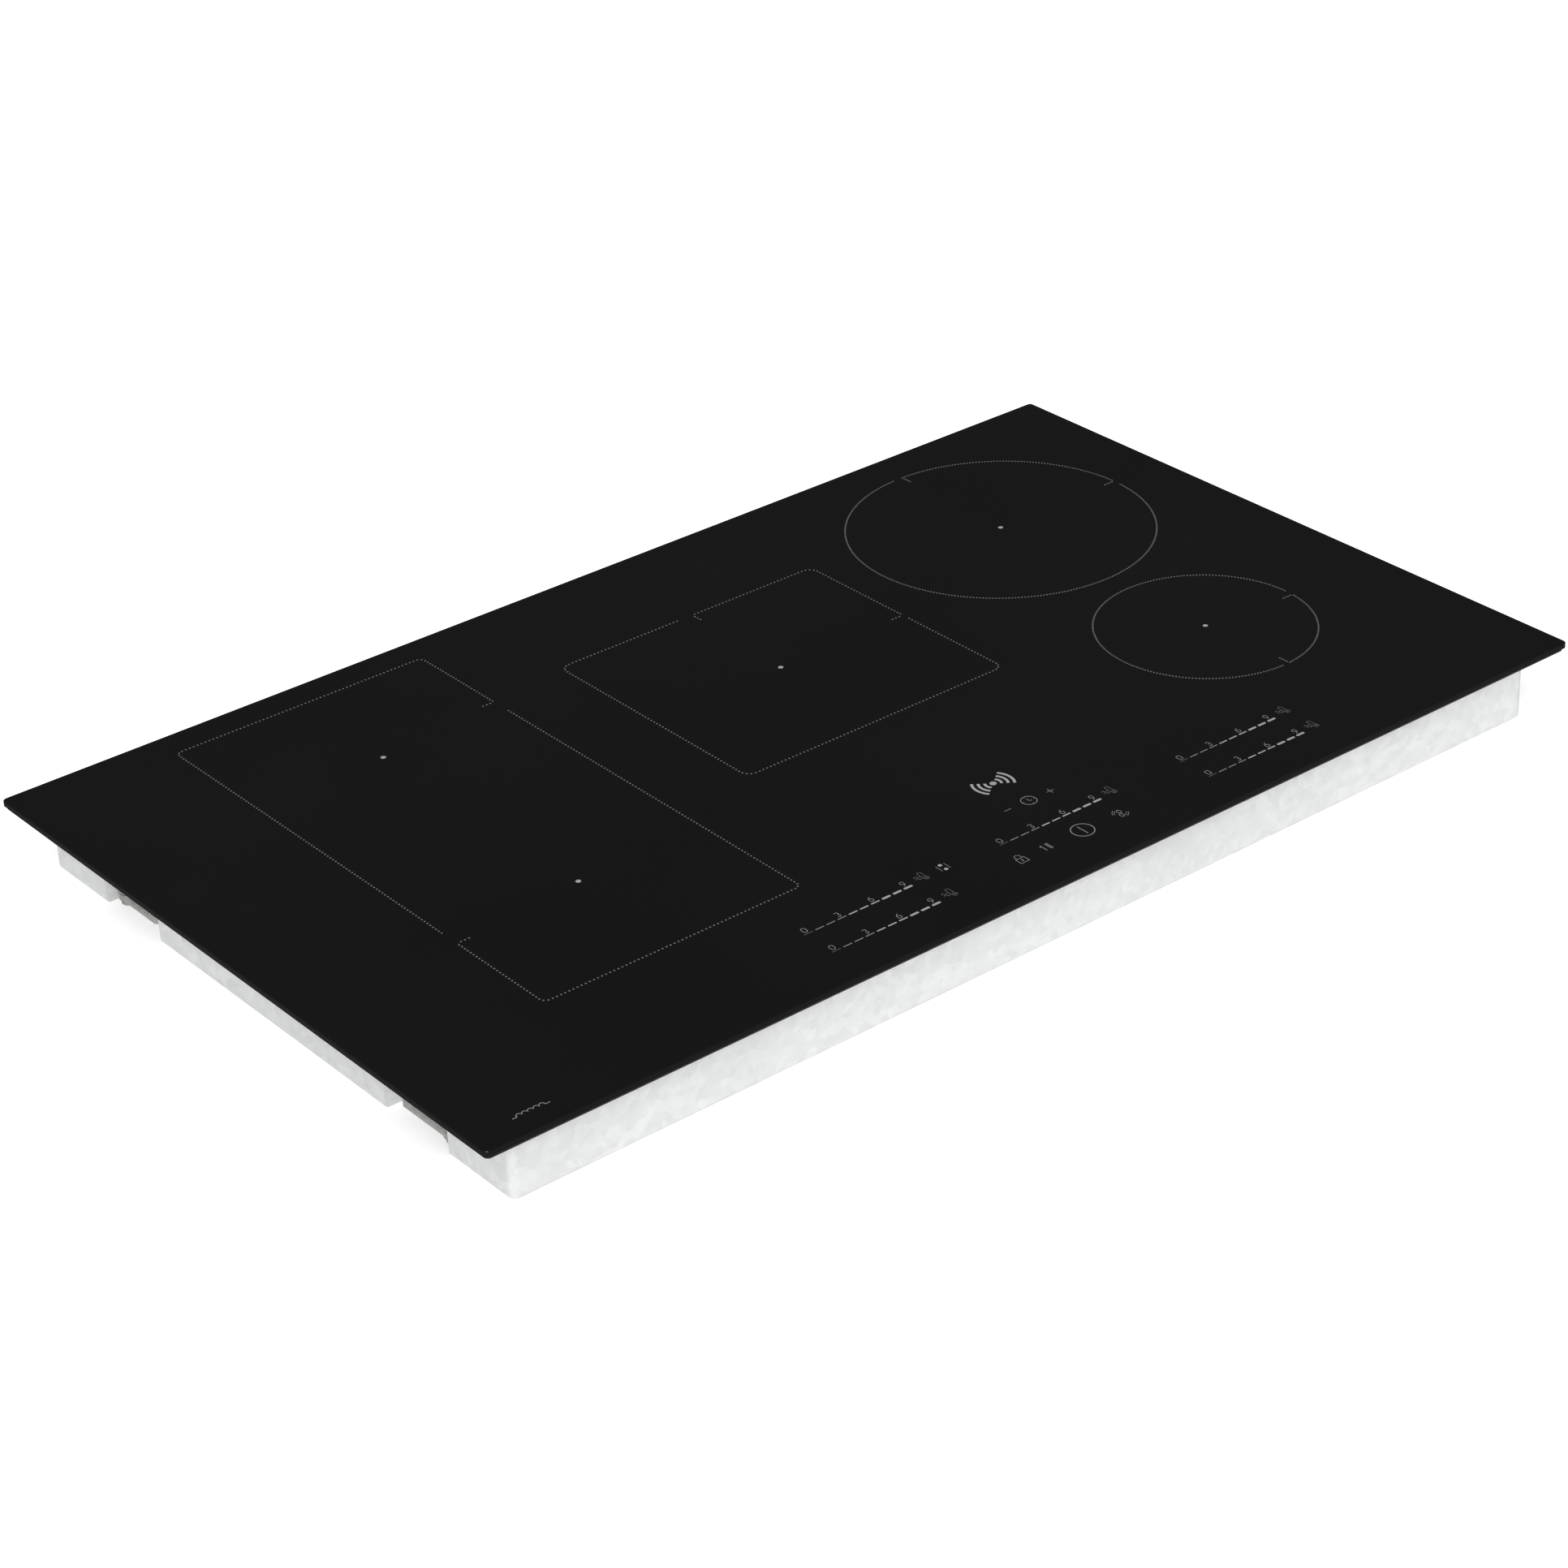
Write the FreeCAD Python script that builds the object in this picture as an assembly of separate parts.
"""Built-in electric induction cooktop, five cooking zones, in millimetres.

Frame: +X to the user's right, +Y to the back, +Z up. The case stands on z = 0 and
the glass is centred on x = y = 0. Each physical piece is a solid of its own, and
each node is one piece or one group of like pieces.
"""
import FreeCAD, Part
import math
import os

V = FreeCAD.Vector
UP = V(0, 0, 1)

# --- driving dimensions -------------------------------------------------------
GLASS_WIDTH = 850.0
GLASS_DEPTH = 510.0
GLASS_THICK = 4.0
GLASS_CORNER = 3.0
GLASS_BEVEL = 0.5
OVERALL_HEIGHT = 51.0
GLASS_UNDER = OVERALL_HEIGHT - GLASS_THICK

CASE_WIDTH = 802.0
CASE_DEPTH = 482.0
CASE_TOP = 46.0
SHEET = 1.0
CASE_CORNER = 5.0
CASE_FOLD = 2.5

SEAL_INSET = 1.5
SEAL_WIDTH = 7.5
SEAL_THICK = 2.0

BOND_THICK = 0.8
BOND_WIDTH = 6.0
RAIL_THICK = 1.2
RAIL_FLANGE = 9.0
RAIL_FOOT = 38.0
RAIL_GAP = 0.2
RAIL_TOP = GLASS_UNDER - BOND_THICK

SCREW_LEVEL = 42.0
SCREW_RADIUS = 2.0
SCREW_HEAD = 3.6
SCREW_HEAD_TALL = 2.0
SCREW_SHANK = 3.4
SCREW_TIP = 2.2
SCREW_TIP_RADIUS = 0.6
CASE_SCREW_X = (-330.0, -165.0, 0.0, 165.0, 330.0)
CASE_SCREW_Y = (-200.0, 0.0, 200.0)

VENT_REACH = 6
GRILLE_PITCH = 5.0
GRILLE_SLOT = 2.6
FLOOR_VENT_X = (-222.0, 33.0, 222.0)
FLOOR_VENT_Y = -190.0
FLOOR_VENT_PITCH = 9.0
FLOOR_VENT_SLOT = (26.0, 3.0)
# left end and number of slots in each exhaust row of the rear wall
EXHAUST_ROWS = [(-262.0, 30), (40.0, 24)]
EXHAUST_PITCH = 8.0
EXHAUST_RADIUS = 1.5
EXHAUST_TALL = 14.0
EXHAUST_LEVEL = 20.0

# coil centres and outer radii, one for each cooking zone
COILS = {
    "left_rear": (-221.5, 138.4, 90.0),
    "left_front": (-221.5, -64.0, 90.0),
    "middle": (34.5, 62.2, 92.0),
    "right_rear": (272.6, 117.1, 99.0),
    "right_front": (272.6, -81.5, 69.0),
}
PAD_BOTTOM = 43.0
PAD_MARGIN = 2.0
FORMER_BOTTOM = 37.0
FORMER_PLATE = 1.5
FORMER_HUB = 14.0
FORMER_WALL = 1.6
WIRE = 3.6
FERRITE = (10.0, 2.6)
SENSOR_BASE = 6.0
SENSOR_TIP = 4.5
SPRING_LENGTH = 30.0
SPRING_WIDTH = 8.0
SPRING_THICK = 0.5

PLATE_BOTTOM = 29.0
PLATE_THICK = 1.5
PLATE_TOP = PLATE_BOTTOM + PLATE_THICK
PLATE_LEG = 14.0
# left, right, front and back edge of each coil plate
COIL_PLATES = {
    "left": (-318.0, -124.0, -155.0, 232.0),
    "middle": (-72.0, 138.0, -35.0, 166.0),
    "right": (166.0, 376.0, -155.0, 232.0),
}

TRAY_FLOOR = 1.5
TRAY_RIM = 1.5
TRAY_RIM_TOP = 5.5
BOARD_BOTTOM = 6.0
BOARD_THICK = 1.6
BOARD_TOP = BOARD_BOTTOM + BOARD_THICK
BOARD_EDGE = 4.0
STANDOFF = 3.0
COMPONENT_TOP = 27.0
# left, right, front and back edge of each plastic tray
TRAYS = {
    "left": (-312.0, -130.0, -150.0, 95.0),
    "middle": (-66.0, 132.0, -150.0, 190.0),
    "right": (172.0, 370.0, -150.0, 95.0),
}
FILTER_SPLIT = 38.0
HEATSINK_WIDTH = 40.0
HEATSINK_FINS = 9
HEATSINK_END = 6.0
HEATSINK_SIDE = 3.0
HEATSINK_FIN = 1.3
HEATSINK_BASE = 4.0
PACKAGE = (5.0, 16.0)
PACKAGE_LEG = (0.6, 1.2)
PACKAGE_LEG_PITCH = 5.4
CAPACITORS_PER_BOARD = 3
BOARD_CHOKE = (12.0, 5.0)
FILTER_CHOKE = (18.0, 7.0)

FAN_SPREAD = 222.0
FAN_Y = 150.0
FAN_SIDE = 96.0
FAN_BOTTOM = 2.0
FAN_TOP = 24.0
FAN_WALL = 1.5
FAN_CHAMBER = 42.0
FAN_INLET = 30.0
FAN_OUTLET = 64.0
FAN_FOOT = 4.0
FAN_FOOT_INSET = 8.0
ROTOR_RADIUS = 35.0
ROTOR_EYE = 27.0
ROTOR_HUB = 13.0
ROTOR_BOTTOM = 6.0
ROTOR_TOP = 20.0
ROTOR_BLADES = 24
ROTOR_SHEET = 1.5
BLADE_SLANT = 32
AXLE_RADIUS = 1.5
AXLE_CLEARANCE = 0.06

# touch controls: slider centres and single keys
SLIDERS = [(-121.2, -198.7), (-121.2, -224.8), (28.5, -198.7), (176.2, -198.7), (176.2, -224.8)]
SLIDER_LENGTH = 82.0
SLIDER_PADS = 6
BOOST_OFFSET = 50.7
KEYS = [(-53.6, -195.9), (19.2, -172.2), (35.9, -172.2), (52.8, -172.2)]
KEYS += [(-14.1, -219.8), (6.5, -219.8), (35.7, -219.8), (65.5, -219.8)]
UI_BOX = (-186.0, 246.0, -235.0, -157.0)
UI_FLOOR = 35.0
UI_RIM_TOP = 41.0
UI_WALL = 2.0
UI_LEG = 4.0
UI_LEG_X = (-178.0, -60.0, 120.0, 238.0)
UI_LEG_Y = (-227.0, -161.5)
TOUCH_BOARD_TOP = UI_FLOOR + UI_WALL + BOARD_THICK
SPRING_WIRE = 0.8
DISPLAYS = [(-123.4, -178.0), (-80.0, -178.0), (150.0, -178.0), (196.0, -178.0), (92.0, -170.0)]
RIBBON_X = (20.0, 40.0)
RIBBON_THICK = 0.8
RIBBON_REACH = (8.0, 14.0)
RIBBON_FOLD = 0.6

TERMINAL_BOX = (276.0, 392.0, 197.0, 241.0)
TERMINAL_Z = (4.0, 28.0)
TERMINAL_WALL = 1.6
TERMINAL_FLANGE = 2.5
TERMINAL_LIP = 1.2
GLAND_X = 287.0
GLAND_Z = 16.0
GLAND_BORE = 6.5
COVER_X = (300.5, 389.5)
COVER_TOP = 28.5
COVER_THICK = 2.0
COVER_HINGE = (245.0, 5.5)
COVER_BARREL = 2.2
COVER_PIN = 1.4
HINGE_CLEARANCE = 0.06
LUG_RADIUS = 3.0
LUG_LONG = 3.6
BACKWARDS = V(0, 1, 0)
SIDEWAYS = V(1, 0, 0)
CHAMBERS = 6
BLOCK_SIZE = (20.0, 13.0)
CHAMBER_RADIUS = 3.4
CHAMBER_SCREW = 2.9
GLAND_HEX = 10.6
GLAND_NOSE = 9.0
GLAND_NECK = 8.0
GLAND_DEPTHS = (6.0, 4.0, 7.0)

POCKET_DEEP = 20.0
POCKET_LONG = 62.0
POCKET_Y = 150.0
POCKET_CEILING = 36.0
CLAMP_INSET = 10.0
CLAMP_PIVOT_Y = 172.0
CLAMP_SCREW = 2.5
CLAMP_HEAD = 4.5
CLAMP_HEAD_Z = (0.6, 3.6)
CLAMP_COLLAR_Z = (34.5, 35.7)
CLAMP_RING_Z = (37.3, 38.3)
CLAMP_SCREW_TOP = 38.6
NUT_LOW_RIM_Z = (4.4, 5.6)
NUT_HIGH_RIM_Z = (8.8, 9.8)
NUT_RIMS = (1.8, 1.2)
ARM_Z = (5.9, 8.5)
ARM_PAD_TOP = 10.5
ARM_PAD_LONG = 9.0
ARM_DENT_DEEP = 0.8
CLAMP_ARM_LONG = 42.0
CLAMP_ARM_WIDE = 12.0
CLAMP_SLEEVE = 4.0

CLAMP_CORNERS = {
    "left_front": (-1, -1),
    "left_rear": (-1, 1),
    "right_front": (1, -1),
    "right_rear": (1, 1),
}


# --- plain shapes ----------------------------------------------------------------
def box(x0, x1, y0, y1, z0, z1):
    return Part.makeBox(x1 - x0, y1 - y0, z1 - z0, V(x0, y0, z0))


def post(x, y, z0, z1, radius):
    return Part.makeCylinder(radius, z1 - z0, V(x, y, z0))


def tube(x, y, z0, z1, outer, inner):
    return post(x, y, z0, z1, outer).cut(post(x, y, z0 - 1, z1 + 1, inner))


def rounded_slab(width, depth, z0, z1, radius):
    """A centred rectangular slab with rounded vertical edges."""
    slab = box(-width / 2, width / 2, -depth / 2, depth / 2, z0, z1)
    return slab.makeFillet(radius, upright_edges(slab))


def upright_edges(shape):
    return [e for e in shape.Edges if abs(e.tangentAt(e.FirstParameter).z) > 0.99]


def level_edges(shape, z):
    """The edges that lie wholly at one height."""
    boxes = [(e, e.BoundBox) for e in shape.Edges]
    return [e for e, b in boxes if abs(b.ZMin - z) < 1e-4 and abs(b.ZMax - z) < 1e-4]


def slab_ring(width, depth, z0, z1, band, radius):
    """A flat rectangular band whose outer size is width by depth."""
    outer = rounded_slab(width, depth, z0, z1, radius)
    inner = rounded_slab(width - 2 * band, depth - 2 * band, z0 - 1, z1 + 1, max(radius - band, 0.6))
    return outer.cut(inner)


def slot_z(x, y, length, width, z0, z1, along="y"):
    """A round-ended slot cutter that runs through a level sheet."""
    half = (length - width) / 2
    dx, dy = (0, half) if along == "y" else (half, 0)
    wide = (width / 2, half) if along == "y" else (half, width / 2)
    middle = box(x - wide[0], x + wide[0], y - wide[1], y + wide[1], z0, z1)
    ends = [post(x + dx, y + dy, z0, z1, width / 2), post(x - dx, y - dy, z0, z1, width / 2)]
    return middle.fuse(ends).removeSplitter()


def turned(shape, x, y, angle):
    """The shape turned about the upright axis through x, y."""
    copy = shape.copy()
    copy.rotate(V(x, y, 0), UP, angle)
    return copy


def tube_along(points, radius, bend):
    """A round tube along straight runs joined by tangent arcs."""
    edges = []
    start = points[0]
    for before, corner, after in zip(points, points[1:], points[2:]):
        inward = (corner - before).normalize()
        outward = (after - corner).normalize()
        half = inward.getAngle(outward) / 2
        reach = bend * math.tan(half)
        first = corner - inward * reach
        last = corner + outward * reach
        side = (outward - inward).normalize()
        middle = corner + side * (bend / math.cos(half) - bend)
        edges.append(Part.LineSegment(start, first).toShape())
        edges.append(Part.Arc(first, middle, last).toShape())
        start = last
    edges.append(Part.LineSegment(start, points[-1]).toShape())
    path = Part.Wire(edges)
    ring = Part.Wire(Part.makeCircle(radius, points[0], (points[1] - points[0]).normalize()))
    return path.makePipeShell([ring], True, False)


# --- glass and its frame -----------------------------------------------------------
def glass_panel():
    glass = rounded_slab(GLASS_WIDTH, GLASS_DEPTH, GLASS_UNDER, OVERALL_HEIGHT, GLASS_CORNER)
    glass = glass.makeChamfer(GLASS_BEVEL, level_edges(glass, OVERALL_HEIGHT))
    return [glass.makeChamfer(GLASS_BEVEL / 2, level_edges(glass, GLASS_UNDER))]


def worktop_seal():
    width = GLASS_WIDTH - 2 * SEAL_INSET
    depth = GLASS_DEPTH - 2 * SEAL_INSET
    return [slab_ring(width, depth, GLASS_UNDER - SEAL_THICK, GLASS_UNDER, SEAL_WIDTH, GLASS_CORNER)]


def frame_outline():
    """Outer width and depth of the steel frame inside the case walls."""
    loss = 2 * (SHEET + RAIL_GAP)
    return CASE_WIDTH - loss, CASE_DEPTH - loss


def glass_bond():
    width, depth = frame_outline()
    margin = RAIL_FLANGE - BOND_WIDTH
    return [slab_ring(width - margin, depth - margin, RAIL_TOP, GLASS_UNDER, BOND_WIDTH, 3)]


def glass_frame():
    """Welded ring of angle steel: a flange under the glass and a web down the case wall."""
    width, depth = frame_outline()
    radius = CASE_CORNER - SHEET
    flange = slab_ring(width, depth, RAIL_TOP - RAIL_THICK, RAIL_TOP, RAIL_FLANGE, radius)
    web = slab_ring(width, depth, RAIL_FOOT, RAIL_TOP - RAIL_THICK, RAIL_THICK, radius)
    frame = flange.fuse(web).removeSplitter()
    for x, y, axis in case_screw_places():
        frame = frame.cut(wall_hole(x, y, axis, SCREW_RADIUS))
    return [frame]


# --- case ----------------------------------------------------------------------------
def case_screw_places():
    """Where a screw goes through the case wall, with the wall's outward direction."""
    places = []
    for side in (-1, 1):
        places += [(x, side * CASE_DEPTH / 2, V(0, side, 0)) for x in CASE_SCREW_X]
        places += [(side * CASE_WIDTH / 2, y, V(side, 0, 0)) for y in CASE_SCREW_Y]
    return places


def wall_hole(x, y, outward, radius):
    start = V(x, y, SCREW_LEVEL) - outward * 4
    return Part.makeCylinder(radius, 8, start, outward)


def cross_recess(x, y, reach, width, z0, z1):
    """Cutters for a cross-head, seen from above."""
    bar = box(x - reach, x + reach, y - width / 2, y + width / 2, z0, z1)
    return [bar, turned(bar, x, y, 90)]


def case_screw():
    """Pan-head self-tapping screw pointing down, its head seated on the origin."""
    head = post(0, 0, 0, SCREW_HEAD_TALL, SCREW_HEAD)
    head = head.makeFillet(SCREW_HEAD_TALL * 0.6, level_edges(head, SCREW_HEAD_TALL))
    shank = post(0, 0, -SCREW_SHANK, 0, SCREW_RADIUS)
    foot = V(0, 0, -SCREW_SHANK - SCREW_TIP)
    tip = Part.makeCone(SCREW_TIP_RADIUS, SCREW_RADIUS, SCREW_TIP, foot)
    screw = head.fuse([shank, tip]).removeSplitter()
    half = SCREW_HEAD_TALL / 2
    return screw.cut(cross_recess(0, 0, 1.8, 0.7, half, half + SCREW_HEAD_TALL))


def case_screws():
    screws = []
    for x, y, outward in case_screw_places():
        screw = case_screw()
        screw.Placement = FreeCAD.Placement(V(x, y, SCREW_LEVEL), FreeCAD.Rotation(UP, outward))
        screws.append(screw)
    return screws


def pocket_box(side_x, side_y, grow):
    """The recess in the case's side wall that a worktop clamp folds into."""
    wall = CASE_WIDTH / 2
    ends = (wall - POCKET_DEEP - grow, wall + 5)
    x0, x1 = ends if side_x > 0 else (-ends[1], -ends[0])
    y0 = side_y * POCKET_Y - POCKET_LONG / 2 - grow
    y1 = side_y * POCKET_Y + POCKET_LONG / 2 + grow
    return box(x0, x1, y0, y1, -5, POCKET_CEILING + grow)


def case_blank(inset):
    """The case's rounded block, shrunk by inset for the inside of the sheet."""
    width, depth = CASE_WIDTH - 2 * inset, CASE_DEPTH - 2 * inset
    block = rounded_slab(width, depth, inset, CASE_TOP, CASE_CORNER - inset)
    return block.makeFillet(CASE_FOLD - inset, level_edges(block, inset))


def fan_grille(x, y):
    """Parallel slots that fill a circle under a fan."""
    reach = FAN_INLET + 3
    cutters = []
    for i in range(-VENT_REACH, VENT_REACH + 1):
        offset = i * GRILLE_PITCH
        chord = 2 * math.sqrt(reach * reach - offset * offset)
        cutters.append(slot_z(x + offset, y, chord, GRILLE_SLOT, -1, SHEET + 1))
    return cutters


def floor_vents():
    """Short louvre rows in the floor under the power boards."""
    length, width = FLOOR_VENT_SLOT
    cutters = []
    for centre in FLOOR_VENT_X:
        for i in range(-VENT_REACH, VENT_REACH + 1):
            x = centre + i * FLOOR_VENT_PITCH
            cutters.append(slot_z(x, FLOOR_VENT_Y, length, width, -1, SHEET + 1))
    return cutters


def exhaust_slots():
    """Rows of upright round-ended slots through the rear wall."""
    radius = EXHAUST_RADIUS
    y = CASE_DEPTH / 2 - 4
    low, high = EXHAUST_LEVEL - EXHAUST_TALL / 2, EXHAUST_LEVEL + EXHAUST_TALL / 2
    cutters = []
    for start, count in EXHAUST_ROWS:
        for i in range(count):
            x = start + i * EXHAUST_PITCH
            middle = box(x - radius, x + radius, y, y + 8, low, high)
            ends = [Part.makeCylinder(radius, 8, V(x, y, z), V(0, 1, 0)) for z in (low, high)]
            cutters.append(middle.fuse(ends).removeSplitter())
    return cutters


def terminal_window():
    """The opening in the rear wall that the terminal box fills."""
    x0, x1, _, rear = TERMINAL_BOX
    return box(x0, x1, rear - 4, rear + 4, *TERMINAL_Z)


def bottom_case():
    outer = case_blank(0.0)
    width, depth = CASE_WIDTH - 2 * SHEET, CASE_DEPTH - 2 * SHEET
    mouth = rounded_slab(width, depth, CASE_TOP - 2, CASE_TOP + 2, CASE_CORNER - SHEET)
    inner = case_blank(SHEET).fuse(mouth)
    for side_x, side_y in CLAMP_CORNERS.values():
        outer = outer.cut(pocket_box(side_x, side_y, 0.0))
        inner = inner.cut(pocket_box(side_x, side_y, SHEET))
    case = outer.cut(inner)
    cutters = floor_vents() + exhaust_slots() + [terminal_window()]
    for side in (-1, 1):
        cutters += fan_grille(side * FAN_SPREAD, FAN_Y)
    for x, y, axis in case_screw_places():
        cutters.append(wall_hole(x, y, axis, SCREW_RADIUS))
    for side_x, side_y in CLAMP_CORNERS.values():
        x, y = clamp_axis(side_x, side_y)
        cutters.append(post(x, y, POCKET_CEILING - 1, POCKET_CEILING + 3, CLAMP_SCREW + 0.08))
    return [case.cut(cutters)]


# --- worktop clamps ---------------------------------------------------------------------
def clamp_axis(side_x, side_y):
    return side_x * (CASE_WIDTH / 2 - CLAMP_INSET), side_y * CLAMP_PIVOT_Y


def clamp_screw(side_x, side_y):
    """Captive upright screw: head below, collar and snap ring each side of the pocket ceiling."""
    x, y = clamp_axis(side_x, side_y)
    low, high = CLAMP_HEAD_Z
    shank = post(x, y, high - 0.6, CLAMP_SCREW_TOP, CLAMP_SCREW)
    head = post(x, y, low, high, CLAMP_HEAD)
    head = head.makeFillet(0.8, level_edges(head, low))
    collar = post(x, y, *CLAMP_COLLAR_Z, CLAMP_HEAD)
    ring = post(x, y, *CLAMP_RING_Z, CLAMP_HEAD)
    screw = shank.fuse([head, collar, ring]).removeSplitter()
    return [screw.cut(cross_recess(x, y, 2.6, 1.0, 0, low + 1.4))]


def clamp_nut(side_x, side_y):
    """Shouldered nut that climbs the screw and carries the arm between its two rims."""
    x, y = clamp_axis(side_x, side_y)
    low_reach, high_reach = NUT_RIMS
    low_rim = post(x, y, *NUT_LOW_RIM_Z, CLAMP_SLEEVE + low_reach)
    sleeve = post(x, y, NUT_LOW_RIM_Z[1], NUT_HIGH_RIM_Z[0], CLAMP_SLEEVE)
    high_rim = post(x, y, *NUT_HIGH_RIM_Z, CLAMP_SLEEVE + high_reach)
    nut = low_rim.fuse([sleeve, high_rim]).removeSplitter()
    return [nut.cut(post(x, y, 0, 12, CLAMP_SCREW + 0.05))]


def clamp_arm(side_x, side_y):
    """Pressed steel arm, folded along the case, with a raised pad that grips the worktop."""
    x, y = clamp_axis(side_x, side_y)
    half = CLAMP_ARM_WIDE / 2
    low, high = ARM_Z
    tip = y + CLAMP_ARM_LONG
    strap = box(x - half, x + half, y, tip - 2, low, high)
    strap = strap.fuse([post(x, y, low, high, half)])
    pad = box(x - half, x + half, tip - ARM_PAD_LONG, tip, low, ARM_PAD_TOP)
    pad = pad.makeFillet(2.0, upright_edges(pad))
    arm = strap.fuse(pad).removeSplitter()
    arm = arm.cut(post(x, y, 0, 12, CLAMP_SLEEVE + 0.06))
    dent = box(x - 2, x + 2, y + 12, tip - 14, high - ARM_DENT_DEEP, high + 0.5)
    arm = arm.cut(dent.makeFillet(1.5, upright_edges(dent)))
    return [arm if side_y < 0 else turned(arm, x, y, 180)]


# --- coils ----------------------------------------------------------------------------------
def coil_former(x, y, radius):
    plate = tube(x, y, FORMER_BOTTOM, FORMER_BOTTOM + FORMER_PLATE, radius, FORMER_HUB)
    floor = FORMER_BOTTOM + FORMER_PLATE
    rim = tube(x, y, floor, PAD_BOTTOM - 0.5, radius, radius - FORMER_WALL)
    hub = tube(x, y, floor, PAD_BOTTOM - 0.5, FORMER_HUB + FORMER_WALL, FORMER_HUB)
    former = plate.fuse([rim, hub]).removeSplitter()
    windows = []
    for i in range(12):
        window = slot_z(x + radius * 0.62, y, radius * 0.5, 5.0, FORMER_BOTTOM - 1, floor + 1, "x")
        windows.append(turned(window, x, y, 15 + i * 30))
    return [former.cut(windows)]


def coil_winding(x, y, radius):
    """Flat pancake coil of litz wire: one bevelled ridge for each turn."""
    inner = FORMER_HUB + FORMER_WALL + 0.8
    turns = int((radius - FORMER_WALL - 0.8 - inner) / WIRE)
    bottom = FORMER_BOTTOM + FORMER_PLATE
    outer = inner + turns * WIRE
    bevel = WIRE / 4
    corners = [V(inner, 0, bottom), V(outer, 0, bottom)]
    for turn in reversed(range(turns)):
        near = inner + turn * WIRE
        corners.append(V(near + WIRE, 0, PAD_BOTTOM - bevel))
        corners.append(V(near + WIRE - bevel, 0, PAD_BOTTOM))
        corners.append(V(near + bevel, 0, PAD_BOTTOM))
    corners.append(V(inner, 0, PAD_BOTTOM - bevel))
    corners.append(corners[0])
    winding = Part.Face(Part.makePolygon(corners)).revolve(V(0, 0, 0), UP, 360)
    winding.translate(V(x, y, 0))
    return [winding]


def ferrite_count(radius):
    return 8 if radius > 80 else 6


def coil_ferrites():
    bars = []
    wide, tall = FERRITE
    for x, y, radius in COILS.values():
        count = ferrite_count(radius)
        for i in range(count):
            bar = box(x + 22, x + radius - 8, y - wide / 2, y + wide / 2, -tall, 0)
            bar.translate(V(0, 0, FORMER_BOTTOM))
            bars.append(turned(bar, x, y, (i + 0.5) * 360 / count))
    return bars


def leaf_spring():
    """An arch along X, standing on the origin."""
    tall = FORMER_BOTTOM - PLATE_TOP
    half = SPRING_LENGTH / 2
    end = half - SPRING_THICK
    outer = Part.Arc(V(-half, 0, 0), V(0, 0, tall), V(half, 0, 0)).toShape()
    inner = Part.Arc(V(end, 0, 0), V(0, 0, tall - SPRING_THICK), V(-end, 0, 0)).toShape()
    right = Part.LineSegment(V(half, 0, 0), V(end, 0, 0)).toShape()
    left = Part.LineSegment(V(-end, 0, 0), V(-half, 0, 0)).toShape()
    leaf = Part.Face(Part.Wire([outer, right, inner, left])).extrude(V(0, SPRING_WIDTH, 0))
    leaf.translate(V(0, -SPRING_WIDTH / 2, 0))
    return leaf


def coil_springs():
    """Three leaf springs under each coil, between ferrite bars, that press it up to the glass."""
    springs = []
    for x, y, radius in COILS.values():
        count = ferrite_count(radius)
        for place in (1, 4, 7) if count == 8 else (1, 3, 5):
            leaf = leaf_spring()
            leaf.translate(V(x + radius * 0.62, y, PLATE_TOP))
            springs.append(turned(leaf, x, y, place * 360 / count))
    return springs


def insulation_pads():
    return [tube(x, y, PAD_BOTTOM, GLASS_UNDER, r + PAD_MARGIN, 8.0) for x, y, r in COILS.values()]


def temperature_sensors():
    sensors = []
    for x, y, radius in COILS.values():
        base = post(x, y, PLATE_TOP, 36.0, SENSOR_BASE)
        tip = post(x, y, 36.0, GLASS_UNDER, SENSOR_TIP)
        sensors.append(base.fuse(tip).removeSplitter())
    return sensors


def coil_plate(name):
    """Aluminium carrier plate on folded legs, with cooling holes under its coils."""
    x0, x1, y0, y1 = COIL_PLATES[name]
    plate = box(x0, x1, y0, y1, PLATE_BOTTOM, PLATE_TOP)
    plate = plate.makeFillet(4.0, upright_edges(plate))
    legs = []
    half = PLATE_LEG / 2
    for y in (y0 + 20, (y0 + y1) / 2, y1 - 50):
        for x in (x0, x1 - PLATE_THICK):
            legs.append(box(x, x + PLATE_THICK, y - half, y + half, SHEET, PLATE_BOTTOM))
    plate = plate.fuse(legs).removeSplitter()
    holes = []
    for coil, (x, y, radius) in COILS.items():
        if coil.startswith(name):
            for angle in (60, 120, 240, 300):
                reach = radius * 0.55
                cx = x + reach * math.cos(math.radians(angle))
                cy = y + reach * math.sin(math.radians(angle))
                holes.append(post(cx, cy, PLATE_BOTTOM - 1, PLATE_TOP + 1, 7.0))
            lead_x = x + lead_offset(radius)
            holes.append(slot_z(lead_x, y, 22, 8, PLATE_BOTTOM - 1, PLATE_TOP + 1))
    return [plate.cut(holes)]


def lead_offset(radius):
    return radius * 0.8 if radius > 80 else radius * 0.7


def coil_leads():
    """Two litz leads from each coil, through its plate and down to the power board."""
    leads = []
    for name, (x, y, radius) in COILS.items():
        tray = TRAYS[name.split("_")[0]]
        board_back = FILTER_SPLIT - 8 if name == "middle" else tray[3] - 8
        for side in (-5, 5):
            start = V(x + lead_offset(radius), y + side, FORMER_BOTTOM)
            landing = min(y, board_back - 12) + side - 8
            high = V(start.x, start.y, PLATE_BOTTOM - 4)
            low = V(start.x, landing, BOARD_TOP + 8)
            end = V(start.x, landing, BOARD_TOP)
            leads.append(tube_along([start, high, low, end], 1.6, 2.4))
    return leads


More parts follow.
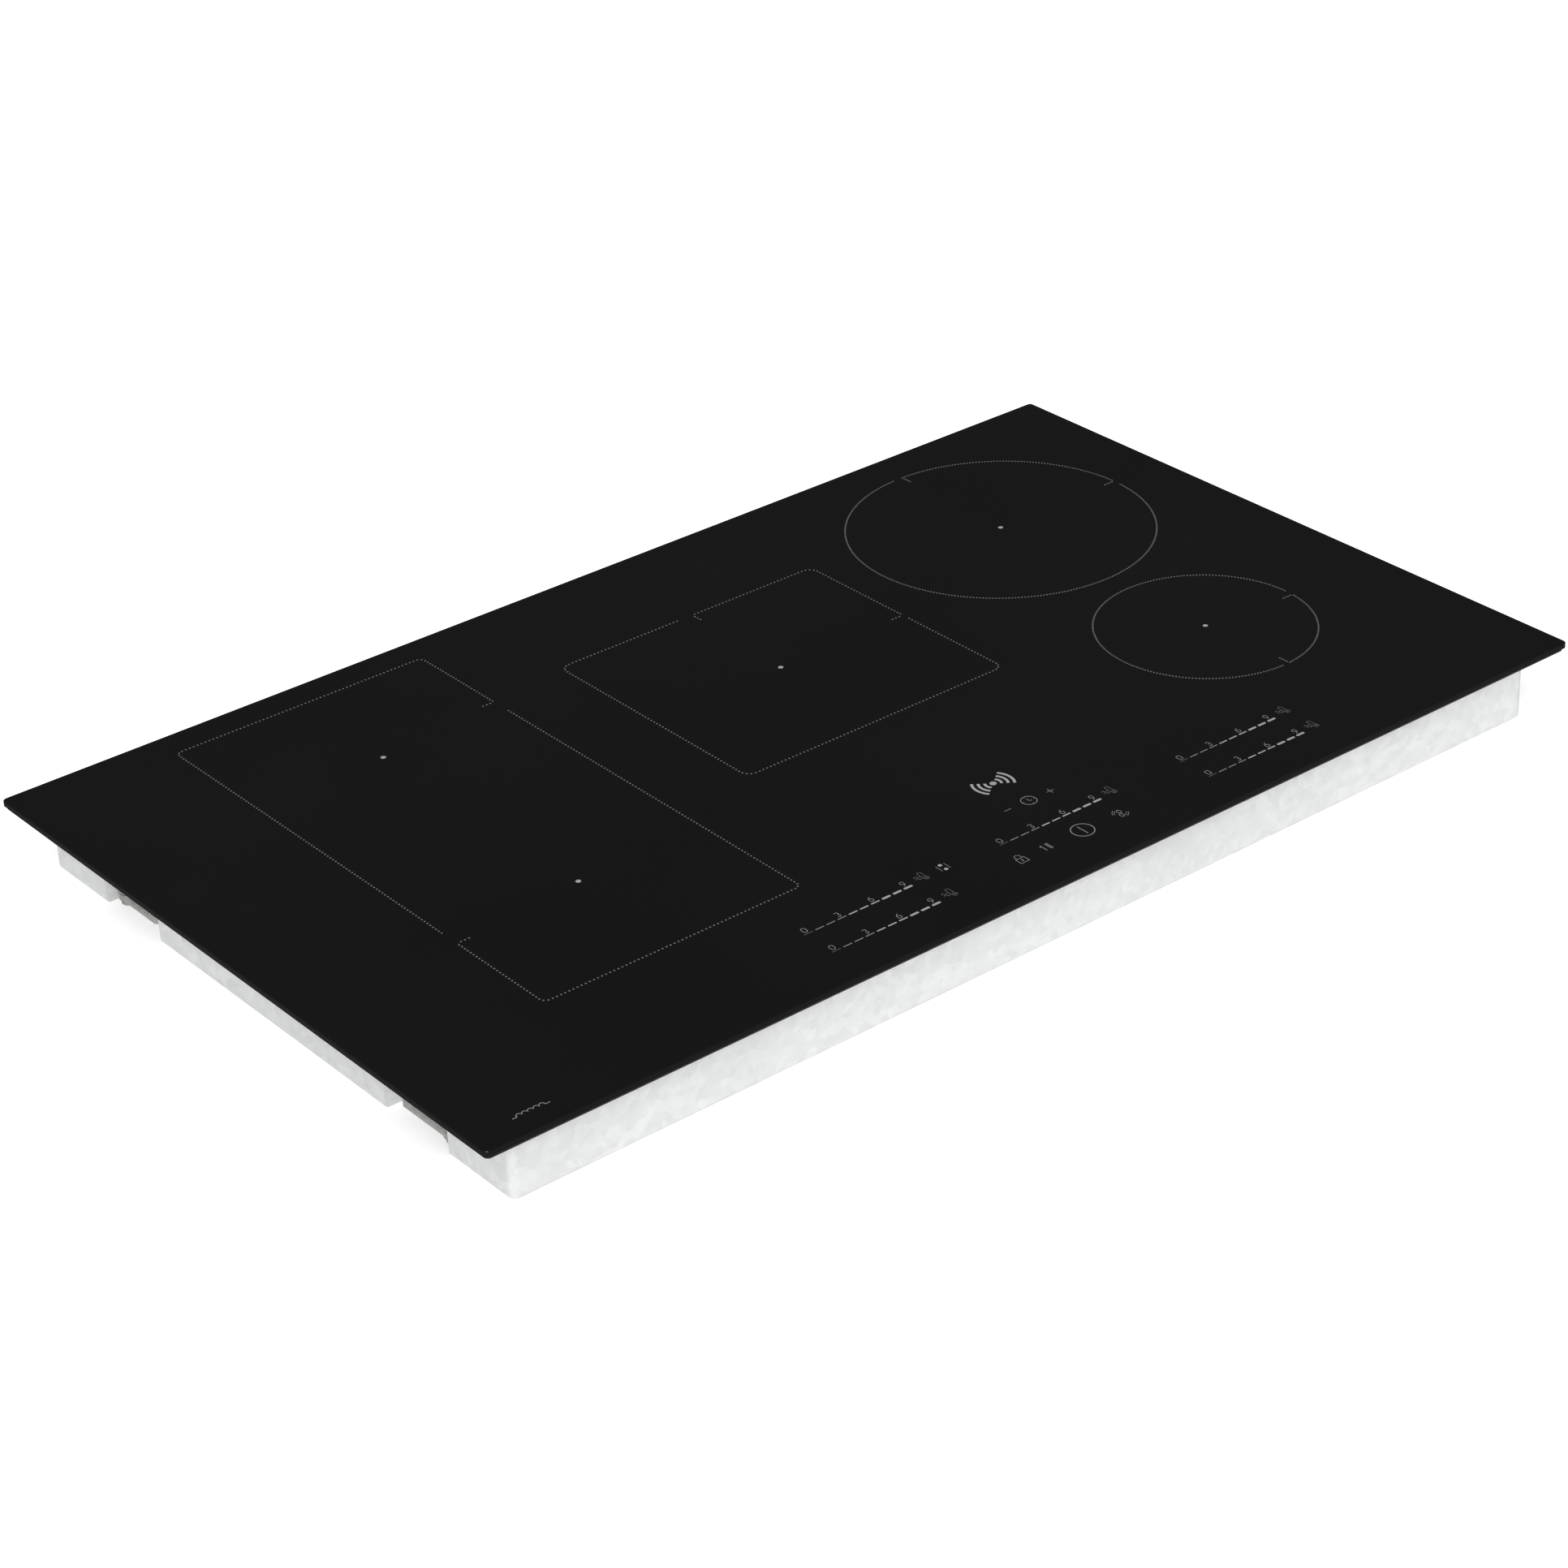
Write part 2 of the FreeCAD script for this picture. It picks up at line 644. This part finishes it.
# --- power electronics --------------------------------------------------------------------------
def board_outline(name):
    """Left, right, front and back edge of the power board in a tray."""
    x0, x1, y0, y1 = TRAYS[name]
    back = FILTER_SPLIT if name == "middle" else y1
    return x0 + BOARD_EDGE, x1 - BOARD_EDGE, y0 + BOARD_EDGE, back - BOARD_EDGE


def filter_outline():
    x0, x1, y0, y1 = TRAYS["middle"]
    return x0 + BOARD_EDGE, x1 - BOARD_EDGE, FILTER_SPLIT + BOARD_EDGE, y1 - BOARD_EDGE


def board_corners(outline, inset=6.0):
    x0, x1, y0, y1 = outline
    return [(x, y) for x in (x0 + inset, x1 - inset) for y in (y0 + inset, y1 - inset)]


def board_trays():
    trays = []
    for name, (x0, x1, y0, y1) in TRAYS.items():
        rim = TRAY_RIM
        tray = box(x0, x1, y0, y1, SHEET, TRAY_RIM_TOP)
        tray = tray.cut(box(x0 + rim, x1 - rim, y0 + rim, y1 - rim, SHEET + TRAY_FLOOR, TRAY_RIM_TOP + 1))
        corners = board_corners(board_outline(name))
        if name == "middle":
            corners += board_corners(filter_outline())
        posts = [post(x, y, SHEET, BOARD_BOTTOM, STANDOFF) for x, y in corners]
        trays.append(tray.fuse(posts).removeSplitter())
    return trays


def circuit_board(outline):
    x0, x1, y0, y1 = outline
    board = box(x0, x1, y0, y1, BOARD_BOTTOM, BOARD_TOP)
    board = board.makeFillet(2.0, upright_edges(board))
    return [board.cut([post(x, y, 0, 20, 1.6) for x, y in board_corners(outline)])]


def heatsink_box(name):
    """Left, right, front and back of the heatsink on a power board."""
    x0, x1, y0, y1 = board_outline(name)
    middle = (x0 + x1) / 2
    half = HEATSINK_WIDTH / 2
    return middle - half, middle + half, y0 + HEATSINK_END, y1 - 4 * HEATSINK_END


def heatsinks():
    sinks = []
    for name in TRAYS:
        x0, x1, y0, y1 = heatsink_box(name)
        sink = box(x0, x1, y0, y1, BOARD_TOP, COMPONENT_TOP)
        pitch = (HEATSINK_WIDTH - 2 * HEATSINK_SIDE) / HEATSINK_FINS
        floor = BOARD_TOP + HEATSINK_BASE
        gaps = []
        for i in range(HEATSINK_FINS):
            left = x0 + HEATSINK_SIDE + i * pitch
            gaps.append(box(left, left + pitch - HEATSINK_FIN, y0 - 1, y1 + 1, floor, COMPONENT_TOP + 1))
        sinks.append(sink.cut(gaps))
    return sinks


def power_transistor(x, y):
    """A flat package on three legs, its left face at x and its middle at y."""
    thick, wide = PACKAGE
    leg_thick, leg_wide = PACKAGE_LEG
    body = box(x, x + thick, y - wide / 2, y + wide / 2, BOARD_TOP + 3, COMPONENT_TOP - 1)
    legs = []
    for place in (-1, 0, 1):
        near = y + place * PACKAGE_LEG_PITCH - leg_wide / 2
        legs.append(box(x + 2, x + 2 + leg_thick, near, near + leg_wide, BOARD_TOP, BOARD_TOP + 3))
    return body.fuse(legs).removeSplitter()


def power_transistors():
    """Packages clipped to both flanks of each heatsink."""
    packages = []
    for name in TRAYS:
        x0, x1, y0, y1 = heatsink_box(name)
        for i in range(3):
            y = y0 + 24 + i * (y1 - y0 - 48) / 2
            packages += [power_transistor(x0 - PACKAGE[0], y), power_transistor(x1, y)]
    return packages


def capacitor(x0, x1, y0, y1, tall):
    block = box(x0, x1, y0, y1, BOARD_TOP, BOARD_TOP + tall)
    return block.makeFillet(1.0, block.Edges)


def film_capacitors():
    blocks = []
    for i in range(CAPACITORS_PER_BOARD):
        for name in TRAYS:
            left, _, y0, y1 = board_outline(name)
            y = y0 + 30 + i * (y1 - y0 - 60) / (CAPACITORS_PER_BOARD - 1)
            blocks.append(capacitor(left + 14, left + 38, y - 14, y + 14, 17))
        left, _, y0, _ = filter_outline()
        y = y0 + 16 + i * 32
        blocks.append(capacitor(left + 16, left + 34, y, y + 26, 16))
    return blocks


def toroid(x, y, radius, thick):
    return Part.makeTorus(radius, thick, V(x, y, BOARD_TOP + thick))


def choke_coils():
    """Wound ring cores: one buffer choke per power board and two mains filter chokes."""
    cores = []
    for name in TRAYS:
        _, right, front, _ = board_outline(name)
        cores.append(toroid(right - 34, front + 24, *BOARD_CHOKE))
    left, _, front, _ = filter_outline()
    for i in range(2):
        cores.append(toroid(left + 78, front + 38 + i * 62, *FILTER_CHOKE))
    return cores


# --- fans ----------------------------------------------------------------------------------------
def fan_housing(side):
    """Blower case: round chamber, inlet below, outlet towards the front."""
    x, y = side * FAN_SPREAD, FAN_Y
    half = FAN_SIDE / 2
    shell = box(x - half, x + half, y - half, y + half, FAN_BOTTOM, FAN_TOP)
    shell = shell.makeFillet(6.0, upright_edges(shell))
    low, high = FAN_BOTTOM + FAN_WALL, FAN_TOP - FAN_WALL
    chamber = post(x, y, low, high, FAN_CHAMBER)
    outlet = box(x - FAN_OUTLET / 2, x + FAN_OUTLET / 2, y - half - 1, y, low, high)
    inlet = post(x, y, 0, FAN_BOTTOM + 3, FAN_INLET)
    axle_hole = post(x, y, FAN_TOP - 3, FAN_TOP + 1, AXLE_RADIUS)
    shell = shell.cut([chamber, outlet, inlet, axle_hole])
    corners = board_corners((x - half, x + half, y - half, y + half), FAN_FOOT_INSET)
    feet = [post(foot_x, foot_y, SHEET, FAN_BOTTOM, FAN_FOOT) for foot_x, foot_y in corners]
    return [shell.fuse(feet).removeSplitter()]


def fan_rotor(side):
    """Drum rotor: hub, top disc and a ring of curved blades."""
    x, y = side * FAN_SPREAD, FAN_Y
    low, high = ROTOR_BOTTOM, ROTOR_TOP
    disc = post(x, y, high - ROTOR_SHEET, high, ROTOR_RADIUS)
    hub = post(x, y, low, high, ROTOR_HUB)
    hub = hub.makeFillet(3.0, level_edges(hub, low))
    band = tube(x, y, low, low + ROTOR_SHEET, ROTOR_RADIUS, ROTOR_RADIUS - ROTOR_SHEET)
    blade = box(x + ROTOR_EYE, x + ROTOR_RADIUS - 0.3, y - 0.5, y + 0.5, low, high - 1)
    blade.rotate(V(x + ROTOR_RADIUS - 0.9, y, 0), UP, BLADE_SLANT)
    blades = [turned(blade, x, y, i * 360 / ROTOR_BLADES) for i in range(ROTOR_BLADES)]
    limit = post(x, y, 0, 30, ROTOR_RADIUS)
    rotor = disc.fuse([hub, band] + blades).common(limit).removeSplitter()
    return [rotor.cut(post(x, y, 0, 30, AXLE_RADIUS + AXLE_CLEARANCE))]


def fan_axles():
    low = ROTOR_BOTTOM - 1.5
    return [post(side * FAN_SPREAD, FAN_Y, low, FAN_TOP, AXLE_RADIUS) for side in (-1, 1)]


# --- controls under the glass -----------------------------------------------------------------------
def touch_points():
    """Every place where a finger is sensed, as x, y and pad radius."""
    points = []
    for x, y in SLIDERS:
        for i in range(SLIDER_PADS):
            offset = (i + 0.5) / SLIDER_PADS - 0.5
            points.append((x + offset * SLIDER_LENGTH, y, 4.5))
        points.append((x + BOOST_OFFSET, y + 2.5, 4.0))
    for x, y in KEYS:
        points.append((x, y, 5.0))
    return points


def ui_box_inside(inset, z0, z1):
    x0, x1, y0, y1 = UI_BOX
    return box(x0 + inset, x1 - inset, y0 + inset, y1 - inset, z0, z1)


def ui_carrier():
    """Shallow plastic tray on legs, notched at the back for the flat cable."""
    tray = ui_box_inside(0, UI_FLOOR, UI_RIM_TOP)
    floor = UI_FLOOR + UI_WALL
    tray = tray.cut(ui_box_inside(UI_WALL, floor, UI_RIM_TOP + 1))
    legs = [post(x, y, SHEET, UI_FLOOR, UI_LEG) for x in UI_LEG_X for y in UI_LEG_Y]
    left, right = RIBBON_X
    back = UI_BOX[3]
    notch = box(left - 4, right + 4, back - 3, back + 1, floor, UI_RIM_TOP + 1)
    return [tray.fuse(legs).removeSplitter().cut(notch)]


def touch_board():
    return [ui_box_inside(UI_WALL + 1, UI_FLOOR + UI_WALL, TOUCH_BOARD_TOP)]


def touch_springs():
    """Conical contact springs between the touch board and the glass, as tapered sleeves."""
    tall = GLASS_UNDER - TOUCH_BOARD_TOP
    springs = []
    for x, y, radius in touch_points():
        base = V(x, y, TOUCH_BOARD_TOP)
        foot = radius * 0.6
        outer = Part.makeCone(foot, radius, tall, base)
        inner = Part.makeCone(foot - SPRING_WIRE, radius - SPRING_WIRE, tall - SPRING_WIRE, base)
        springs.append(outer.cut(inner))
    return springs


def display_modules():
    modules = []
    for x, y in DISPLAYS:
        block = box(x - 12, x + 12, y - 6, y + 6, TOUCH_BOARD_TOP, GLASS_UNDER - 0.5)
        modules.append(block.makeFillet(0.6, upright_edges(block)))
    return modules


def ui_ribbon():
    """Flat cable from the touch board down to the middle power board."""
    left, right = RIBBON_X
    on_board, on_foot = RIBBON_REACH
    back = UI_BOX[3] + 3.0
    low, high = BOARD_TOP, TOUCH_BOARD_TOP
    rear = back + RIBBON_THICK
    level = box(left, right, back - on_board, back, high, high + RIBBON_THICK)
    drop = box(left, right, back, rear, low, high + RIBBON_THICK)
    foot = box(left, right, rear, back + on_foot, low, low + RIBBON_THICK)
    ribbon = level.fuse([drop, foot]).removeSplitter()
    top_edges = [e for e in level_edges(ribbon, high + RIBBON_THICK) if e.BoundBox.YMin > back]
    return [ribbon.makeFillet(RIBBON_FOLD, top_edges)]


# --- mains connection -----------------------------------------------------------------------------------
def hinge_rod(start, length, radius):
    """A round bar on the cover's hinge axis."""
    return Part.makeCylinder(radius, length, V(start, *COVER_HINGE), SIDEWAYS)


def terminal_box():
    """Plastic tub behind the rear wall, closed at its left by the gland's face."""
    x0, x1, y0, y1 = TERMINAL_BOX
    z0, z1 = TERMINAL_Z
    wall = TERMINAL_WALL
    tub = box(x0, x1, y0, y1, z0, z1)
    spread = TERMINAL_FLANGE
    flange = box(x0 - spread, x1 + spread, y1, y1 + TERMINAL_LIP, z0 - spread, z1 + spread)
    corners = [e for e in flange.Edges if abs(e.tangentAt(e.FirstParameter).y) > 0.99]
    body = tub.fuse(flange.makeFillet(2.0, corners)).removeSplitter()
    body = body.cut(box(x0 + wall, x1 - wall, y0 + wall, y1 - wall, z0 + wall, z1 - wall))
    door = COVER_X[0] - 1.5
    body = body.cut(box(door, x1 - wall, y1 - 8, y1 + 5, z0 + wall + 2, z1 - wall))
    gland_hole = Part.makeCylinder(GLAND_NECK, 12, V(GLAND_X, y1 - 6, GLAND_Z), BACKWARDS)
    hinge_y, hinge_z = COVER_HINGE
    low, high = hinge_z - LUG_RADIUS, hinge_z + LUG_RADIUS
    lugs = []
    for start in (COVER_X[0] - 4.0, COVER_X[1] + 0.4):
        web = box(start, start + LUG_LONG, y1 + 0.4, hinge_y, low, high)
        lugs.append(hinge_rod(start, LUG_LONG, LUG_RADIUS).fuse(web))
    body = body.fuse(lugs).removeSplitter()
    bore = hinge_rod(COVER_X[0] - 8, 110, COVER_PIN + HINGE_CLEARANCE)
    return [body.cut([gland_hole, bore])]


def terminal_cover():
    """Hinged lid with its pins moulded on and a finger lip along the free edge."""
    hinge_y, hinge_z = COVER_HINGE
    left, right = COVER_X
    inner = hinge_y - COVER_BARREL
    plate = box(left, right, inner, inner + COVER_THICK, hinge_z, COVER_TOP)
    barrel = hinge_rod(left, right - left, COVER_BARREL)
    pin = hinge_rod(left - 4.0, right - left + 8.0, COVER_PIN)
    lip = box(left + 30, right - 30, inner, inner + 5.0, COVER_TOP - 2.0, COVER_TOP)
    ribs = []
    for x in (left + 6, right - 7.6):
        ribs.append(box(x, x + 1.6, inner, inner + 3.2, hinge_z + 3, COVER_TOP - 3))
    return [plate.fuse([barrel, pin, lip] + ribs).removeSplitter()]


def terminal_block():
    """Screw terminal strip with one clamp screw in each chamber."""
    left, right = COVER_X[0] + 8, COVER_X[1] - 6
    front = TERMINAL_BOX[2] + TERMINAL_WALL
    base = TERMINAL_Z[0] + TERMINAL_WALL
    deep, tall = BLOCK_SIZE
    block = box(left, right, front, front + deep, base, base + tall)
    pitch = (right - left) / CHAMBERS
    well = base + 9.5
    cutters = []
    screws = []
    for i in range(CHAMBERS):
        x = left + (i + 0.5) * pitch
        cutters.append(Part.makeCylinder(3.2, 12, V(x, front + 10, base + 5), BACKWARDS))
        cutters.append(post(x, front + 13, well, base + deep, CHAMBER_RADIUS))
        screws.append(post(x, front + 13, well, well + 2.5, CHAMBER_SCREW))
    return [block.cut(cutters)] + screws


def cable_gland():
    """Hexagonal inlet gland with a rounded nose and a through bore."""
    face = TERMINAL_BOX[3] + TERMINAL_LIP
    neck_long, hex_long, nose_long = GLAND_DEPTHS
    points = []
    for i in range(7):
        angle = math.radians(60 * i + 30)
        across, up = GLAND_HEX * math.sin(angle), GLAND_HEX * math.cos(angle)
        points.append(V(GLAND_X + across, face, GLAND_Z + up))
    hexagon = Part.Face(Part.makePolygon(points)).extrude(BACKWARDS * hex_long)
    nose = Part.makeCylinder(GLAND_NOSE, nose_long, V(GLAND_X, face + hex_long, GLAND_Z), BACKWARDS)
    tip = face + hex_long + nose_long
    nose = nose.makeFillet(1.6, [e for e in nose.Edges if abs(e.BoundBox.YMin - tip) < 1e-4])
    neck = Part.makeCylinder(GLAND_NECK, neck_long, V(GLAND_X, face - neck_long, GLAND_Z), BACKWARDS)
    gland = hexagon.fuse([nose, neck]).removeSplitter()
    bore = Part.makeCylinder(GLAND_BORE, 30, V(GLAND_X, face - 10, GLAND_Z), BACKWARDS)
    return [gland.cut(bore)]


# --- all nodes --------------------------------------------------------------------------------------------
def all_nodes():
    nodes = {
        "glass_panel": glass_panel(),
        "worktop_seal": worktop_seal(),
        "glass_bond": glass_bond(),
        "glass_frame": glass_frame(),
        "bottom_case": bottom_case(),
        "case_screws": case_screws(),
        "board_trays": board_trays(),
        "filter_board": circuit_board(filter_outline()),
        "heatsinks": heatsinks(),
        "power_transistors": power_transistors(),
        "film_capacitors": film_capacitors(),
        "choke_coils": choke_coils(),
        "coil_ferrites": coil_ferrites(),
        "coil_springs": coil_springs(),
        "coil_leads": coil_leads(),
        "insulation_pads": insulation_pads(),
        "temperature_sensors": temperature_sensors(),
        "fan_axles": fan_axles(),
        "ui_carrier": ui_carrier(),
        "touch_board": touch_board(),
        "touch_springs": touch_springs(),
        "display_modules": display_modules(),
        "ui_ribbon": ui_ribbon(),
        "terminal_box": terminal_box(),
        "terminal_block": terminal_block(),
        "terminal_cover": terminal_cover(),
        "cable_gland": cable_gland(),
    }
    for name in TRAYS:
        nodes["power_board_" + name] = circuit_board(board_outline(name))
    for name in COIL_PLATES:
        nodes["coil_plate_" + name] = coil_plate(name)
    for name, (x, y, radius) in COILS.items():
        nodes["coil_former_" + name] = coil_former(x, y, radius)
        nodes["coil_winding_" + name] = coil_winding(x, y, radius)
    for name, side in (("left", -1), ("right", 1)):
        nodes["fan_housing_" + name] = fan_housing(side)
        nodes["fan_rotor_" + name] = fan_rotor(side)
    for name, (side_x, side_y) in CLAMP_CORNERS.items():
        nodes["clamp_screw_" + name] = clamp_screw(side_x, side_y)
        nodes["clamp_nut_" + name] = clamp_nut(side_x, side_y)
        nodes["clamp_arm_" + name] = clamp_arm(side_x, side_y)
    return nodes


def single_solids(pieces):
    """The pieces as separate solids, whatever compounds the cuts left them in."""
    return [solid for piece in pieces for solid in piece.Solids]


os.makedirs("parts", exist_ok=True)
for node, pieces in all_nodes().items():
    solids = single_solids(pieces)
    shape = solids[0] if len(solids) == 1 else Part.makeCompound(solids)
    print(node, len(solids), "valid" if shape.isValid() else "INVALID", round(shape.Volume))
    shape.exportStep("parts/" + node + ".step")
